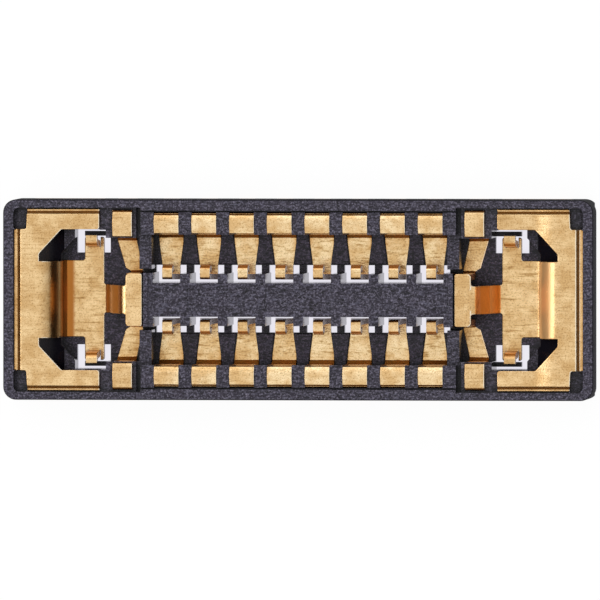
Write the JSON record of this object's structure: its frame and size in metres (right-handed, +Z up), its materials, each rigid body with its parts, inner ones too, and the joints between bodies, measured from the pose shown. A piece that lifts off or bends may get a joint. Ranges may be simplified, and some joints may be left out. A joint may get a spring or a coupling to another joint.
{
  "type": "fpc connector",
  "caption": "Fine-pitch board-to-board receptacle for a flexible circuit: moulded body with two rows of plated spring contacts and a power terminal at each end.",
  "frame": {"origin": "middle of the underside, which is soldered to the circuit board", "axes": "+X along the contact rows, +Y across them towards row a, +Z up out of the plug's cavity"},
  "size_m": [0.0054, 0.0018, 0.0006],
  "materials": {
    "housing": "fine-grained black moulding",
    "terminal_metal": "gold-plated copper alloy, brushed",
    "contact_metal": "gold-plated copper alloy"
  },
  "bodies": {
    "root": {"housing": "housing", "power_terminal_left": "terminal_metal", "power_terminal_right": "terminal_metal", "signal_contact_a1": "contact_metal", "signal_contact_a2": "contact_metal", "signal_contact_a3": "contact_metal", "signal_contact_a4": "contact_metal", "signal_contact_a5": "contact_metal", "signal_contact_a6": "contact_metal", "signal_contact_a7": "contact_metal", "signal_contact_a8": "contact_metal", "signal_contact_b1": "contact_metal", "signal_contact_b2": "contact_metal", "signal_contact_b3": "contact_metal", "signal_contact_b4": "contact_metal", "signal_contact_b5": "contact_metal", "signal_contact_b6": "contact_metal", "signal_contact_b7": "contact_metal", "signal_contact_b8": "contact_metal"}
  },
  "joints": []
}
